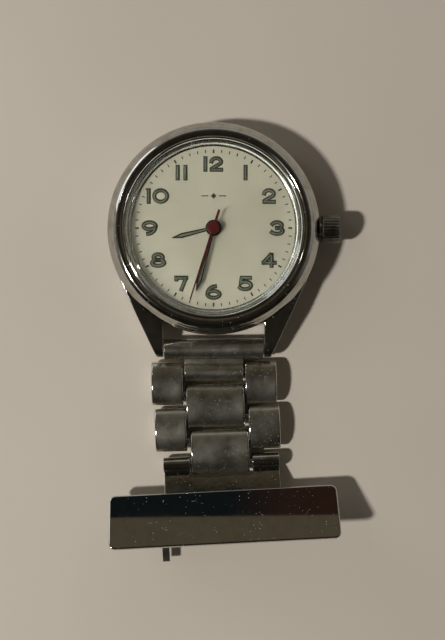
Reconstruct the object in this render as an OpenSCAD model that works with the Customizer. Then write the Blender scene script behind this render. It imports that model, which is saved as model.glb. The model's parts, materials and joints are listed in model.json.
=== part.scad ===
// Fob watch with a bracelet strap and a brooch bar.
// The watch lies on its case back, dial up: +Z leaves the dial, +Y points to 12 o'clock,
// +X points to the crown, and the origin is the middle of the case back's flat face.
// The strap lies on the same surface and the brooch bar leans on its safety catch.

/* [Case] */
// Radius of the case at its widest
case_r = 16.75; // [16.4:0.05:20.2]
// Wall between the case's widest line and its bore
case_wall = 2.65; // [2.4:0.05:2.9]
// Height of the case band's lower face
case_z0 = 1.2; // [1.1:0.05:1.3]
// Height of the case band's upper face, under the bezel
case_z1 = 5.8; // [5.7:0.05:7]
// Width of the sloping flank outside the bezel
flank_w = 0.75; // [0.6:0.05:1]
// Gap between the two lugs
lug_gap = 16; // [15:0.5:19.5]
// Lean of the lugs' outer faces from the strap's direction
lug_lean = 24.6; // [20:0.2:28]
// Radius of a lug's rounded tip
lug_tip_r = 1.3; // [1.2:0.05:1.5]
// Height of the spring bar's axis
bar_z = 2.3; // [2.2:0.05:2.6]
// Wall of the case back
back_t = 0.5; // [0.4:0.05:0.55]
// Radius of the case back's flat face
back_flat_r = 12.5; // [10:0.5:13]

/* [Crystal and bezel] */
// Thickness of the nylon ring around the crystal
gasket_t = 0.4; // [0.3:0.05:0.5]
// Height of the crystal's edge
crystal_edge = 1.05; // [0.8:0.05:1.2]
// Rise of the crystal's dome above its edge
dome_rise = 1.8; // [1.2:0.1:2.4]
// Thickness of the crystal at its middle
crystal_t = 1.1; // [0.8:0.1:1.3]
// Radius of the bezel's outer bead
bead_r = 0.42; // [0.35:0.01:0.45]
// Height of the bezel's inner lip above the case band
lip_h = 1.42; // [1.2:0.02:1.7]
// Radius of the bezel's rounded inner lip
lip_r = 0.22; // [0.18:0.01:0.25]

/* [Dial and hands] */
// Thickness of the dial
dial_t = 0.4; // [0.3:0.05:0.45]
// Height of the dial's lower face
dial_z = 4.45; // [4.4:0.01:4.5]
// Width of the sloping ring between dial and crystal
rehaut_w = 1.4; // [1.2:0.05:1.6]
// Length of the hour hand from its axis
hour_len = 6.6; // [5:0.1:9]
// Length of the minute hand from its axis
minute_len = 10.1; // [8:0.1:11.5]
// Length of the seconds hand from its axis
seconds_len = 11.7; // [9:0.1:12.2]
// Length of the seconds hand's tail
seconds_tail = 2.9; // [2:0.1:4]
// Radius of the seconds hand's round hub
seconds_hub_r = 0.95; // [0.7:0.05:1.2]
// Time shown: hours, minutes and seconds
time_shown = [8, 32, 33];

/* [Crown and stem] */
// Radius of the crown
crown_r = 2.1; // [1.9:0.05:2.4]
// Length of the crown
crown_len = 3.05; // [2.95:0.05:4]
// Number of flutes round the crown
crown_flutes = 26; // [20:1:32]
// Gap between the case and the crown
crown_gap = 0.3; // [0.25:0.05:0.5]
// Outer radius of the tube that the crown slides on
tube_r = 1.0; // [0.9:0.05:1.1]
// Radius of the winding stem
stem_r = 0.42; // [0.35:0.01:0.44]
// Height of the stem's axis
stem_z = 3.35; // [3.34:0.01:3.36]

/* [Movement] */
// Radius of the movement
mov_r = 11.65; // [11.6:0.05:11.8]
// Radius of the battery
batt_r = 3.4; // [3:0.1:3.4]
// Thickness of the battery
batt_t = 1.65; // [1.4:0.05:1.65]
// Module of the seconds wheel's teeth
train_m = 0.125; // [0.12:0.005:0.13]

/* [Strap] */
// Radius of every link's rounded end
link_r = 1.62; // [1.4:0.01:1.65]
// Distance between neighbouring pins
half_pitch = 3.67; // [3.6:0.01:4.4]
// Width of the middle links
centre_w = 9.3; // [8:0.1:10.5]
// Width of each outer link
outer_w = 5.05; // [4:0.05:6]
// Side gap between middle and outer links
side_gap = 0.3; // [0.3:0.01:0.4]
// Sideways lean that the strap takes up at each pin
skew = 0.5; // [0:0.05:0.5]
// Sideways shift that the strap takes up at each of its last three pins
side_play = 0.25; // [0:0.01:0.25]
// Radius of the link pins
pin_r = 0.5; // [0.4:0.05:0.6]
// Gap between the case and the strap's first barrel
first_gap = 0.65; // [0.5:0.05:1]

/* [Brooch] */
// Width of the brooch bar
bar_w = 36; // [30:0.5:44]
// Height of the brooch bar
bar_h = 8.5; // [8:0.1:10.5]
// Thickness of the brooch bar
bar_t = 0.9; // [0.7:0.05:1.1]
// Radius of the brooch bar's corners
bar_corner = 1.0; // [0.6:0.1:1.5]
// Lean of the brooch bar from level
brooch_tilt = 28; // [20:1:32]
// Distance from the last pin to the brooch bar's near edge
neck_len = 4.6; // [4.2:0.1:6]
// Width of the hanger plate
hanger_w = 18.5; // [17:0.1:21]
// Thickness of the hanger plate and the pin's base
sheet_t = 0.5; // [0.4:0.05:0.55]
// Outer radius of the hanger's rolled ears
curl_r = 1.25; // [1.1:0.05:1.4]
// Distance from the middle to the brooch pin's catch
catch_x = 8; // [7.5:0.1:9]
// Distance from the middle to the brooch pin's hinge
hinge_x = 10; // [9:0.1:11]
// Distance from the last pin to the brooch pin's line
finding_y = 10; // [9.5:0.1:10.8]
// Radius of the brooch pin's wire
wire_r = 0.42; // [0.35:0.01:0.45]
// Outer radius of the catch's hook
hook_r = 2.0; // [1.9:0.05:2.2]
// Length of the catch's lever from its axis
lever_len = 4.1; // [3.5:0.1:4.6]

/* [Hidden] */
$fn = 96;
fit = 0.05;            // running and assembly clearance
run = 0.08;            // clearance of a turning tube on its core
case_bore = case_r - case_wall;
ledge_w = 0.45;        // ledge inside the case that the rehaut ring meets
ledge_t = 0.45;
ledge_r = case_bore - ledge_w;
dial_top = dial_z + dial_t;
dial_open_r = case_bore - rehaut_w;
bezel_r = case_r - flank_w;
crystal_r = case_bore - gasket_t;
crystal_z0 = case_z1 + fit;
bar_y = -(case_r + first_gap + link_r);
lug_line = case_r - 0.4;   // distance of a lug's outer face from the case's axis
floor_gap = 0.02;          // height of the links above the surface
link_z = link_r + floor_gap;

// The strap's pins are numbered from the spring bar (0) to the brooch (5).
first_run = sqrt(half_pitch^2 - (bar_z - link_z)^2);
function lean(n) = (n + 1) * skew;
function step(n) = [n > 1 ? side_play : 0, n > 0 ? -half_pitch : -first_run];
function turned(v, a) = [v[0] * cos(a) - v[1] * sin(a), v[0] * sin(a) + v[1] * cos(a)];
function pin_xy(n) = n == 0 ? [0, bar_y] : pin_xy(n - 1) + turned(step(n - 1), lean(n - 1));
function pin_z(n) = n == 0 ? bar_z : link_z;
outer_x = centre_w / 2 + side_gap;
strap_half = outer_x + outer_w;

// Movement layout. Teeth: rotor 8, intermediate 40/8, seconds 48/8, third 60/8, centre 64.
motion_m = 0.1;        // module of every other wheel's teeth
pinion_n = 8;
intermediate_n = 40;
seconds_n = 48;
third_n = 60;
centre_n = 64;
cannon_n = 12;
minute_n = 36;
minute_pinion_n = 10;
hour_n = 40;
setting_n = 18;
third_d = (pinion_n + third_n) * motion_m / 2;
centre_m = 2 * third_d / (pinion_n + centre_n);
third_a = -60;
third_p = third_d * [cos(third_a), sin(third_a)];
inter_d = (pinion_n + seconds_n) * train_m / 2;
inter_a = 20;
inter_p = inter_d * [cos(inter_a), sin(inter_a)];
rotor_d = (pinion_n + intermediate_n) * motion_m / 2;
rotor_a = 60;
rotor_p = inter_p + rotor_d * [cos(rotor_a), sin(rotor_a)];
minute_d = (cannon_n + minute_n) * motion_m / 2;
minute_p = [minute_d, 0];
hour_m = 2 * minute_d / (minute_pinion_n + hour_n);
setting_p = [minute_d + (minute_n + setting_n) * motion_m / 2, 0];

plate_z0 = 2.95;
plate_z1 = 3.75;
rim_w = 0.75;
rim_z0 = 1.9;
bridge_z = 0.95;
bridge_t = 0.35;
pillars = [[7.0, -2.6], [-3.4, -6.6], [-4.9, -0.6]];
pillar_r = 0.8;
screw_r = 0.35;
pivot_r = 0.12;
pivot_hole_r = pivot_r + fit;
seconds_arbor_r = 0.22;
cannon_bore_r = seconds_arbor_r + run;
cannon_r = 0.55;
hour_pipe_bore = cannon_r + run;
hour_pipe_r = 0.85;
batt_z = 1.0;
batt_d = mov_r - rim_w - 0.15 - batt_r;
batt_a = 135;
batt_p = batt_d * [cos(batt_a), sin(batt_a)];
coil_y = 7.4;
coil_z = 2.05;
coil_x = [0.8, 4.8];
core_x = [-1.4, 6.6];
stator_z = 1.45;
stator_t = 0.35;
board_z = 2.55;
board_t = 0.3;
board_r = [5.6, 10.6];
board_a = [196, 232];
can_a = 214;
clutch_x = [6.85, 8.05];
clutch_r = 0.72;
clutch_groove = [7.3, 7.65];
lever_groove = [8.9, 9.35];
pull = 0.9;               // travel of the crown
clutch_travel = 0.7;      // travel of the clutch wheel, towards the setting wheel
lever_pivot = [(lever_groove[0] + lever_groove[1] + pull) / 2, -3.0];
yoke_pivot = [(clutch_groove[0] + clutch_groove[1] - clutch_travel) / 2, 3.0];
lever_z = 3.9;
lever_t = 0.2;

hour_z = dial_top + 0.35;
hand_t = 0.15;
hand_step = 0.3;
minute_z = hour_z + hand_step;
seconds_z = minute_z + hand_step + 0.05;
seconds_deg = time_shown[2] * 6;
minute_deg = (time_shown[1] + time_shown[2] / 60) * 6;
hour_deg = (time_shown[0] + minute_deg / 360) * 30;

crown_x = case_r + crown_gap;
crown_cavity = [tube_r + 0.4, 1.9];
tube_end = crown_x + 1.5;
tube_bore = stem_r + 0.15;

// Brooch, in a frame whose origin is the last pin and whose -Y runs along the hanger
hanger_z = -curl_r;                 // the hanger's back face
bar_back_z = hanger_z + sheet_t;
base_z = hanger_z - sheet_t;
base_w = 4.4;
base_len = 2 * (hinge_x + 2);
catch_z = -(pin_z(5) + finding_y * sin(brooch_tilt) - hook_r) / cos(brooch_tilt);
hook_w = 1.8;
hook_t = 0.6;
mouth = wire_r + 0.15;              // half the width of the sleeve's mouth
sleeve_r = hook_r - hook_t - fit;
sleeve_bore = wire_r + 0.3;
sleeve_w = hook_w + 2.5;
ear_t = 0.45;
ear_gap = 1.2;
ear_r = 1.15;
rivet_r = 0.5;
pin_tip_x = -catch_x - 2.4;
pin_taper = 5;                      // length of the brooch pin's point

chrome = "silver";
steel = "lightsteelblue";
brass = "goldenrod";

// ---- shared shapes ----

// A ring about +Z between two radii and two heights
module ring(r0, r1, z0, z1) {
    translate([0, 0, z0]) difference() {
        cylinder(r = r1, h = z1 - z0);
        translate([0, 0, -1]) cylinder(r = r0, h = z1 - z0 + 2);
    }
}

// A disc about +Z at p, from z0 to z1
module disc(p, r, z0, z1) {
    translate([p[0], p[1], z0]) cylinder(r = r, h = z1 - z0);
}

// A cylinder along +X from x0 to x1, at y and z
module rod_x(r, x0, x1, y = 0, z = 0) {
    translate([x0, y, z]) rotate([0, 90, 0]) cylinder(r = r, h = x1 - x0);
}

// A flat bar with round ends between two points
module bar_2d(p, q, w) {
    d = q - p;
    translate(p) circle(d = w);
    translate(q) circle(d = w);
    translate(p) rotate(atan2(d[1], d[0])) translate([0, -w / 2]) square([norm(d), w]);
}

// Corner points of one tooth, as [radius, half-angle steps] pairs turned to a place
function tooth_points(n, m) = let (r = n * m / 2, step = 90 / n) [
    [r - 1.15 * m, -1.15 * step], [r, -0.88 * step], [r + 0.75 * m, -0.42 * step],
    [r + 0.75 * m, 0.42 * step], [r, 0.88 * step], [r - 1.15 * m, 1.15 * step]];

// A gear's outline with one tooth centred at angle phase
module gear_2d(n, m, phase) {
    polygon([for (i = [0 : n - 1], t = tooth_points(n, m))
        let (a = phase + i * 360 / n + t[1]) t[0] * [cos(a), sin(a)]]);
}

// A gear from z0 to z1 at p, with an optional bore
module gear(p, n, m, phase, z0, z1, bore = 0) {
    translate([p[0], p[1], z0]) difference() {
        linear_extrude(z1 - z0) gear_2d(n, m, phase);
        if (bore > 0) translate([0, 0, -1]) cylinder(r = bore, h = z1 - z0 + 2, $fn = 48);
    }
}

// Turns a part so that its +Y points to a clock angle
module at_clock(deg) {
    rotate([0, 0, -deg]) children();
}

// Both sides of the watch
module both_sides() {
    children();
    mirror([1, 0, 0]) children();
}

// ---- case ----

// Section of the case band, with its bore and the ledge at the top
module case_section() {
    polygon([[case_bore, case_z0], [case_r - 0.85, case_z0], [case_r - 0.3, case_z0 + 0.5],
        [case_r, case_z0 + 1.3], [case_r, case_z0 + 2.4], [bezel_r, case_z1],
        [ledge_r, case_z1], [ledge_r, case_z1 - ledge_t], [case_bore, case_z1 - ledge_t]]);
}

// Plan of the right lug: straight inside, leaning outside, starting inside the band
module lug_plan() {
    c = cos(lug_lean);
    s = sin(lug_lean);
    tip = bar_y - lug_tip_r;
    gap = lug_gap / 2;
    wall_mid = case_r - case_wall / 2;
    polygon([[gap, -sqrt(wall_mid^2 - gap^2)], [gap, tip], [(lug_line + s * tip) / c, tip],
        lug_line * [c, -s]]);
}

// Side view of a lug, as [y, z]: it falls from the band to a round tip on the bar's axis
module lug_side() {
    translate([bar_y, bar_z]) circle(r = lug_tip_r);
    polygon([[-case_r * 0.3, case_z1 - 1.1], [-case_bore, case_z1 - 1.1],
        [bar_y, bar_z + lug_tip_r], [bar_y, bar_z - lug_tip_r], [-case_bore, case_z0],
        [-case_r * 0.3, case_z0]]);
}

module lug() {
    intersection() {
        linear_extrude(case_z1) lug_plan();
        translate([lug_gap / 2 - 1, 0, 0]) rotate([90, 0, 90]) linear_extrude(case_r) lug_side();
    }
}

lug_hole_r = 0.48;
lug_hole_d = 0.9;
tip_pivot_r = lug_hole_r - run;

module case_body() {
    color(chrome) difference() {
        union() {
            rotate_extrude() case_section();
            both_sides() lug();
        }
        ring(case_bore + 0.25, case_bore + 0.85, case_z0 - 1, case_z0 + 0.4);
        both_sides() rod_x(lug_hole_r, lug_gap / 2 - 1, lug_gap / 2 + lug_hole_d, bar_y, bar_z);
        rod_x(tube_r, case_bore - 1, case_r + 1, 0, stem_z);
    }
}

// Section of the bezel: outer bead, slope up, rounded inner lip
module bezel_section() {
    bead = [bezel_r - bead_r, case_z1 + bead_r];
    lip = [case_bore + lip_r, case_z1 + lip_h - lip_r];
    translate(bead) circle(r = bead_r);
    translate(lip) circle(r = lip_r);
    polygon([[case_bore, case_z1], [bezel_r, case_z1], [bezel_r, bead[1]], [bead[0], bead[1]],
        [bead[0] - bead_r * 0.7, bead[1] + bead_r * 0.3], [lip[0] + lip_r * 0.8, lip[1] - 0.15],
        [lip[0], lip[1]], [case_bore, lip[1]]]);
}

module bezel() {
    color(chrome) rotate_extrude() bezel_section();
}

// Domed crystal: a spherical cap outside, another inside, on a straight edge
module crystal() {
    edge_z = crystal_z0 + crystal_edge;
    top = edge_z + dome_rise;
    outer_r = (crystal_r^2 + dome_rise^2) / (2 * dome_rise);
    inner_open = crystal_r - 0.7;
    inner_rise = top - crystal_t - crystal_z0 - 0.25;
    inner_r = (inner_open^2 + inner_rise^2) / (2 * inner_rise);
    color("aliceblue", 0.35) rotate_extrude($fn = 128) difference() {
        intersection() {
            translate([0, top - outer_r]) circle(r = outer_r, $fn = 256);
            translate([0, crystal_z0]) square([crystal_r, top]);
        }
        intersection() {
            translate([0, top - crystal_t - inner_r]) circle(r = inner_r, $fn = 256);
            translate([-1, crystal_z0 - 1]) square([inner_open + 1, top]);
        }
        translate([-1, 0]) square([inner_open + 1, crystal_z0 + 0.25]);
        translate([-2 * outer_r, -2 * outer_r]) square([2 * outer_r, 4 * outer_r]);
    }
}

module crystal_gasket() {
    color("white") ring(crystal_r, case_bore, crystal_z0, crystal_z0 + crystal_edge - 0.1);
}

// Sloping polished ring that frames the dial
module rehaut_ring() {
    color(chrome) rotate_extrude() polygon([[dial_open_r, dial_top], [case_bore - fit, dial_top],
        [case_bore - fit, case_z1 - ledge_t], [ledge_r - fit, case_z1 - ledge_t],
        [ledge_r - fit, case_z1], [ledge_r - fit - 0.15, case_z1],
        [dial_open_r, dial_top + 0.12]]);
}

foot_r = 0.2;
foot_d = mov_r - rim_w / 2;
foot_a = [100, 280];

module dial() {
    color("ivory") {
        difference() {
            disc([0, 0], case_bore - 0.1, dial_z, dial_top);
            disc([0, 0], hour_pipe_r + 0.15, dial_z - 1, dial_top + 1);
        }
        for (a = foot_a) disc(foot_d * [cos(a), sin(a)], foot_r, dial_z - 0.9, dial_z + 0.1);
    }
}

module movement_holder() {
    color("whitesmoke") difference() {
        union() {
            ring(mov_r + fit, case_bore - 0.7, 1.0, 2.4);
            ring(mov_r + fit, case_bore - 0.1, 2.3, dial_z);
        }
        rod_x(0.8, mov_r - 1, case_bore + 1, 0, stem_z);
    }
}

// Press-in case back: flat face, sloping shoulder, flange and rim
module case_back() {
    rim_r = case_bore - fit;
    color(chrome) rotate_extrude() polygon([[0, 0], [back_flat_r, 0], [case_bore + 1.1, 0.55],
        [case_bore + 1.2, 0.75], [case_bore + 1.2, case_z0], [rim_r, case_z0], [rim_r, 2.2],
        [rim_r - 0.5, 2.2], [rim_r - 0.5, 0.9], [back_flat_r - 0.6, back_t], [0, back_t]]);
}

module case_back_gasket() {
    color("dimgray") ring(case_bore + 0.3, case_bore + 0.8, case_z0, case_z0 + 0.35);
}

module crown_tube() {
    color(steel) difference() {
        rod_x(tube_r, case_bore + 0.05, tube_end, 0, stem_z);
        rod_x(tube_bore, case_bore - 1, tube_end + 1, 0, stem_z);
    }
}

// ---- movement, fixed parts ----

module pivot_holes(z0, z1) {
    for (p = [third_p, inter_p, rotor_p]) disc(p, pivot_hole_r, z0, z1);
}

module main_plate() {
    color(brass) difference() {
        union() {
            disc([0, 0], mov_r, plate_z0, plate_z1);
            ring(mov_r - rim_w, mov_r, rim_z0, dial_z);
            for (p = pillars) disc(p, pillar_r, bridge_z + bridge_t, plate_z0 + 0.1);
            disc(setting_p, 0.3, plate_z0 + 0.3, lever_z + 0.2);
            for (p = [lever_pivot, yoke_pivot]) disc(p, 0.3, plate_z0 + 0.3, lever_z + lever_t);
        }
        disc([0, 0], cannon_r + run, plate_z0 - 1, plate_z1 + 1);
        pivot_holes(plate_z0 - 0.5, plate_z0 + 0.4);
        disc(minute_p, pivot_hole_r, plate_z0 + 0.2, plate_z1 + 1);
        for (p = pillars) disc(p, screw_r, bridge_z, 2.2);
        for (a = foot_a) disc(foot_d * [cos(a), sin(a)], foot_r + fit, dial_z - 1, dial_z + 1);
        translate([5.7, -1.15, plate_z0 - 1]) cube([4.8, 2.3, 3]);
        rod_x(0.3, 3.5, 6, 0, stem_z);
        rod_x(stem_r + run, 10, mov_r + 1, 0, stem_z);
    }
}

module train_bridge() {
    spots = [pillars[0], third_p, pillars[1], pillars[2], [0, 0], inter_p, rotor_p, pillars[0]];
    color(brass) difference() {
        translate([0, 0, bridge_z]) linear_extrude(bridge_t) {
            for (i = [0 : len(spots) - 2]) bar_2d(spots[i], spots[i + 1], 2.2);
        }
        pivot_holes(bridge_z - 1, bridge_z + 1);
        disc([0, 0], pivot_hole_r, bridge_z - 1, bridge_z + 1);
        for (p = pillars) disc(p, screw_r + fit, bridge_z - 1, bridge_z + 1);
    }
}

// Three slotted screws; the last one also holds the battery clip
module bridge_screws() {
    color(steel) for (i = [0 : 2]) {
        under = i == 2 ? bridge_z - clip_t : bridge_z;
        difference() {
            union() {
                disc(pillars[i], 0.7, under - 0.2, under);
                disc(pillars[i], screw_r, under - 0.1, 2.15);
            }
            translate([pillars[i][0] - 1, pillars[i][1] - 0.08, under - 0.3]) cube([2, 0.16, 0.2]);
        }
    }
}

// The part of a flat ring between two angles less than 90 degrees apart
module sector_2d(r, a) {
    difference() {
        intersection() {
            circle(r = r[1]);
            polygon([[0, 0], 2 * r[1] * [cos(a[0]), sin(a[0])], 2 * r[1] * [cos(a[1]), sin(a[1])]]);
        }
        circle(r = r[0]);
    }
}

module circuit_board() {
    color("seagreen") translate([0, 0, board_z]) linear_extrude(board_t) sector_2d(board_r, board_a);
}

module quartz_can() {
    color(steel) rotate([0, 0, can_a]) translate([8.9, 0, board_z - 0.8]) rotate([90, 0, 0])
        translate([0, 0, -2.4]) cylinder(r = 0.75, h = 4.8);
}

module timer_chip() {
    color("black") rotate([0, 0, can_a]) translate([5.9, -1.0, board_z - 0.5]) cube([1.8, 2.0, 0.5]);
}

module coil_core() {
    color(steel) translate([core_x[0], coil_y - 0.45, coil_z - 0.25])
        cube([core_x[1] - core_x[0], 0.9, 0.5]);
}

module coil_winding() {
    color("peru") difference() {
        rod_x(0.85, coil_x[0], coil_x[1], coil_y, coil_z);
        translate([coil_x[0] - 1, coil_y - 0.5, coil_z - 0.3])
            cube([coil_x[1] - coil_x[0] + 2, 1, 0.6]);
    }
}

module stator() {
    color(steel) translate([0, 0, stator_z]) linear_extrude(stator_t) difference() {
        union() {
            translate(rotor_p) circle(r = 1.65);
            bar_2d([core_x[0] + 0.5, coil_y], [rotor_p[0] - 1.3, rotor_p[1] + 0.3], 1);
            bar_2d([core_x[1] - 0.5, coil_y], [rotor_p[0] + 1.2, rotor_p[1]], 1);
        }
        translate(rotor_p) circle(r = 1.15);
    }
}

module battery() {
    color(steel) {
        disc(batt_p, batt_r, batt_z, batt_z + batt_t - 0.3);
        disc(batt_p, batt_r - 0.5, batt_z, batt_z + batt_t);
    }
}

clip_t = 0.15;

module battery_clip() {
    color(steel) difference() {
        translate([0, 0, bridge_z - clip_t]) linear_extrude(clip_t) {
            bar_2d(batt_p, pillars[2], 2);
            bar_2d(batt_p - [1.8, 0], batt_p + [1.8, 0], 1.4);
        }
        disc(pillars[2], screw_r + fit, 0, 2);
    }
}

// ---- movement, wheels and setting work ----

module rotor() {
    color("darkgray") {
        disc(rotor_p, 0.9, stator_z - 0.05, stator_z + 0.4);
        disc(rotor_p, 0.25, bridge_z + bridge_t + 0.02, plate_z0 - 0.05);
        disc(rotor_p, pivot_r, bridge_z + 0.05, plate_z0 + 0.3);
    }
    color(brass) gear(rotor_p, pinion_n, motion_m, rotor_a + 180 + 180 / pinion_n, 2.15, 2.5);
}

module intermediate_wheel() {
    color(brass) {
        gear(inter_p, intermediate_n, motion_m, rotor_a, 2.25, 2.4);
        gear(inter_p, pinion_n, train_m, inter_a + 180 + 180 / pinion_n, 1.4, 1.8);
        disc(inter_p, 0.2, bridge_z + bridge_t + 0.02, plate_z0 - 0.05);
        disc(inter_p, pivot_r, bridge_z + 0.05, plate_z0 + 0.3);
    }
}

module seconds_wheel() {
    color(brass) {
        gear([0, 0], seconds_n, train_m, inter_a, 1.5, 1.68);
        gear([0, 0], pinion_n, motion_m, third_a, 1.85, 2.2);
        disc([0, 0], seconds_arbor_r, bridge_z + bridge_t + 0.02, seconds_z + 0.1);
        disc([0, 0], pivot_r, bridge_z + 0.05, bridge_z + bridge_t + 0.1);
    }
}

module third_wheel() {
    color(brass) {
        gear(third_p, third_n, motion_m, third_a + 180 + 180 / third_n, 1.95, 2.1);
        gear(third_p, pinion_n, centre_m, third_a + 180, 2.35, 2.85);
        disc(third_p, 0.2, bridge_z + bridge_t + 0.02, plate_z0 - 0.05);
        disc(third_p, pivot_r, bridge_z + 0.05, plate_z0 + 0.3);
    }
}

// Centre wheel on a tube that carries the cannon pinion and the minute hand
module centre_wheel() {
    color(brass) difference() {
        union() {
            gear([0, 0], centre_n, centre_m, third_a + 180 / centre_n, 2.55, 2.75);
            disc([0, 0], cannon_r, 2.5, minute_z + hand_t);
            gear([0, 0], cannon_n, motion_m, 0, plate_z1 + fit, 4.08);
        }
        disc([0, 0], cannon_bore_r, 2, minute_z + 1);
    }
}

module minute_wheel() {
    color(brass) {
        gear(minute_p, minute_n, motion_m, 180 + 180 / minute_n, 3.85, 4.0);
        gear(minute_p, minute_pinion_n, hour_m, 180, 3.95, 4.35);
        disc(minute_p, pivot_r, plate_z0 + 0.25, 3.9);
    }
}

module hour_wheel() {
    color(brass) difference() {
        union() {
            gear([0, 0], hour_n, hour_m, 180 / hour_n, 4.14, 4.3);
            disc([0, 0], hour_pipe_r, 4.14, hour_z + hand_t);
        }
        disc([0, 0], hour_pipe_bore, 4, hour_z + 1);
    }
}

module setting_wheel() {
    color(brass) gear(setting_p, setting_n, motion_m, 180, 3.85, 4.0, 0.3 + fit);
}

// Steel stem: pilot, square for the clutch, shaft with the setting lever's groove
module stem() {
    color(steel) difference() {
        union() {
            rod_x(0.25, 3.6, 6.4, 0, stem_z);
            translate([6.2, -0.29, stem_z - 0.29]) cube([2.2, 0.58, 0.58]);
            rod_x(stem_r, 8.3, crown_x + crown_cavity[1] + 0.6, 0, stem_z);
        }
        difference() {
            rod_x(1, lever_groove[0], lever_groove[1], 0, stem_z);
            rod_x(0.26, lever_groove[0] - 1, lever_groove[1] + 1, 0, stem_z);
        }
    }
}

module clutch_wheel() {
    color(steel) difference() {
        translate([clutch_x[0], 0, stem_z]) rotate([0, 90, 0])
            linear_extrude(clutch_x[1] - clutch_x[0]) gear_2d(14, 2 * clutch_r / 15.5, 0);
        difference() {
            rod_x(2, clutch_groove[0], clutch_groove[1], 0, stem_z);
            rod_x(0.48, clutch_groove[0] - 1, clutch_groove[1] + 1, 0, stem_z);
        }
        translate([clutch_x[0] - 1, -0.32, stem_z - 0.32]) cube([4, 0.64, 0.64]);
    }
}

// Lever whose pin rides in the stem's groove
module setting_lever() {
    pin = [(lever_groove[0] + lever_groove[1]) / 2, 0];
    color(steel) {
        difference() {
            translate([0, 0, lever_z]) linear_extrude(lever_t) bar_2d(lever_pivot, pin, 0.9);
            disc(lever_pivot, 0.3 + fit, 3, 5);
        }
        disc(pin, 0.14, stem_z + 0.32, lever_z + 0.1);
    }
}

// Yoke whose finger rides in the clutch wheel's groove
module yoke() {
    finger = [(clutch_groove[0] + clutch_groove[1]) / 2, 0.35];
    color(steel) {
        translate([0, 0, lever_z + 0.02]) linear_extrude(lever_t) difference() {
            bar_2d(yoke_pivot, [finger[0], 1.4], 0.9);
            translate(yoke_pivot) circle(r = 0.3 + fit);
        }
        translate([finger[0] - 0.1, 0.55, stem_z - 0.3]) cube([0.2, 0.35, 0.9]);
        translate([finger[0] - 0.1, 0.55, lever_z + 0.02]) cube([0.2, 0.9, lever_t]);
    }
}

// ---- hands ----

// Pencil hand: hub disc, body that widens to a shoulder, pointed tip
module pencil_hand(len, hub_r, base_w, shoulder_w, tip_len, hole_r) {
    difference() {
        union() {
            cylinder(r = hub_r, h = hand_t);
            linear_extrude(hand_t) polygon([[-base_w / 2, 0], [-shoulder_w / 2, len - tip_len],
                [-0.05, len], [0.05, len], [shoulder_w / 2, len - tip_len], [base_w / 2, 0]]);
        }
        translate([0, 0, -1]) cylinder(r = hole_r, h = hand_t + 2);
    }
}

module hour_hand() {
    color("black") at_clock(hour_deg) translate([0, 0, hour_z])
        pencil_hand(hour_len, 1.25, 0.44, 0.72, 1.5, hour_pipe_r);
}

module minute_hand() {
    color("black") at_clock(minute_deg) translate([0, 0, minute_z])
        pencil_hand(minute_len, 0.95, 0.5, 0.78, 1.6, cannon_r);
}

module seconds_hand() {
    color("firebrick") at_clock(seconds_deg) difference() {
        union() {
            translate([0, 0, seconds_z]) linear_extrude(0.12) polygon([[-0.2, -seconds_tail],
                [0.2, -seconds_tail], [0.16, 0], [0.07, seconds_len], [-0.07, seconds_len],
                [-0.16, 0]]);
            disc([0, 0], seconds_hub_r, seconds_z, seconds_z + 0.35);
        }
        disc([0, 0], seconds_arbor_r, seconds_z - 1, seconds_z + 0.1);
    }
}

// ---- crown ----

module crown() {
    flute_m = 2 * crown_r / (crown_flutes + 1.5);
    color(chrome) difference() {
        intersection() {
            translate([crown_x, 0, stem_z]) rotate([0, 90, 0])
                linear_extrude(crown_len) gear_2d(crown_flutes, flute_m, 0);
            translate([crown_x, 0, stem_z]) rotate([0, 90, 0]) rotate_extrude() polygon([[0, 0],
                [crown_r - 0.35, 0], [crown_r, 0.3], [crown_r, crown_len - 0.7],
                [crown_r - 0.35, crown_len - 0.2], [0, crown_len]]);
        }
        rod_x(crown_cavity[0], crown_x - 1, crown_x + crown_cavity[1], 0, stem_z);
        rod_x(stem_r, crown_x, crown_x + crown_cavity[1] + 0.6, 0, stem_z);
    }
}

module crown_gasket() {
    color("dimgray") difference() {
        rod_x(crown_cavity[0] - 0.02, crown_x + 0.1, crown_x + 0.45, 0, stem_z);
        rod_x(tube_r + 0.02, crown_x, crown_x + 1, 0, stem_z);
    }
}

// ---- strap ----

spring_tube_r = 0.75;
spring_tube_bore = 0.52;
spring_tube_half = lug_gap / 2 - 0.8;
tip_out = lug_gap / 2 + lug_hole_d - 0.1;
tip_in = lug_gap / 2 - 2.8;

module spring_bar_tube() {
    color(steel) difference() {
        rod_x(spring_tube_r, -spring_tube_half, spring_tube_half, bar_y, bar_z);
        rod_x(spring_tube_bore, -lug_gap, lug_gap, bar_y, bar_z);
    }
}

module spring_bar_tip() {
    color(steel) {
        rod_x(spring_tube_bore - fit, tip_in, lug_gap / 2 - 0.1, bar_y, bar_z);
        rod_x(tip_pivot_r, lug_gap / 2 - 0.2, tip_out, bar_y, bar_z);
    }
}

module spring_bar_tip_right() {
    spring_bar_tip();
}

module spring_bar_tip_left() {
    mirror([1, 0, 0]) spring_bar_tip();
}

spring_turns = 12;
spring_steps = 12;
spring_sides = 6;
spring_wire = 0.08;
spring_mean = 0.34;

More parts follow.
